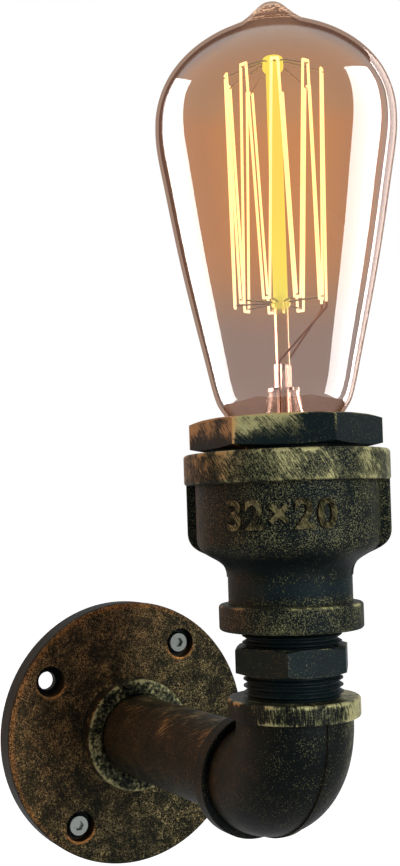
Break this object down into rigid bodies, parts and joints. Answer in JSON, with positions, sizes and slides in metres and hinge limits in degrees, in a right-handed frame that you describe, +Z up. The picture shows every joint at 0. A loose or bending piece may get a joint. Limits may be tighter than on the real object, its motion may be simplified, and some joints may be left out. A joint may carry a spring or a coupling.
{
  "type": "pipe wall light",
  "caption": "Industrial wall light: round iron flange, short pipe arm, elbow, hex nipple, reducer and hex bushing, holding an upright tinted pear lamp.",
  "frame": {"origin": "centre of the flange's back face, in the plane of the wall", "axes": "+Y points into the wall, the arm runs along -Y, +Z is up along the lamp"},
  "size_m": [0.0888, 0.1395, 0.2546],
  "materials": {
    "aged_iron": "dark bronze paint brushed with gold on the edges",
    "aged_pipe": "dark bronze paint, brown and copper on top",
    "zinc_steel": "bright zinc",
    "spring_steel": "drawn wire",
    "brass": "bright",
    "lamp_cap": "nickel-plated brass",
    "tin": "tinned, dull",
    "lead_wire": "copper-sheathed wire, darkened",
    "porcelain": "glazed porcelain",
    "black_glass": "opaque black glass",
    "cement": "capping cement",
    "brown_insulation": "wire insulation",
    "blue_insulation": "wire insulation",
    "amber_glass": "tinted blown glass",
    "clear_glass": "clear glass",
    "filament": "glowing filament"
  },
  "bodies": {
    "wall_plate": {"wall_flange": "aged_iron", "mounting_bar": "zinc_steel", "plate_screws": "zinc_steel", "earth_washer": "brass", "earth_screw": "brass"},
    "arm": {"arm_pipe": "aged_pipe", "elbow": "aged_iron", "hex_nipple": "aged_iron", "reducer": "aged_iron", "hex_bushing": "aged_iron", "holder_body": "porcelain", "screw_shell": "brass", "shell_screw": "brass", "neutral_terminal": "brass", "live_terminal": "brass", "terminal_screws": "zinc_steel", "contact_spring": "spring_steel", "live_wire": "brown_insulation", "neutral_wire": "blue_insulation", "wire_ferrules": "tin"},
    "contact": {"centre_contact": "brass"},
    "lamp_tip": {"bulb_tip": "tin"},
    "lamp": {"bulb_insulator": "black_glass", "bulb_cap": "lamp_cap", "cap_cement": "cement", "bulb_glass": "amber_glass", "bulb_stem": "clear_glass", "exhaust_tube": "clear_glass", "support_rod": "clear_glass", "support_hooks": "spring_steel", "lead_in_wires": "lead_wire", "filament": "filament"}
  },
  "joints": [
    {"name": "arm_swivel", "type": "hinge", "parent": "wall_plate", "child": "arm", "pos_m": [0, 0, 0], "axis": [0, -1, 0], "range_deg": [0, 180]},
    {"name": "contact_press", "type": "slide", "parent": "arm", "child": "contact", "axis": [0, 0, 1], "range_m": [-0.0008, 0], "stiffness_N_per_m": 1500, "springref_m": 0.0005, "deforming": ["contact_spring"]},
    {"name": "lamp_lift", "type": "slide", "parent": "arm", "child": "lamp_tip", "axis": [0, 0, 1], "range_m": [0, 0.0255]},
    {"name": "lamp_turn", "type": "hinge", "parent": "lamp_tip", "child": "lamp", "pos_m": [0, -0.1075, 0], "axis": [0, 0, 1], "range_deg": [0, 2520]}
  ],
  "couplings": [
    {"joint": "lamp_lift", "follows": "lamp_turn", "m_per_rad": 0.00057757}
  ]
}
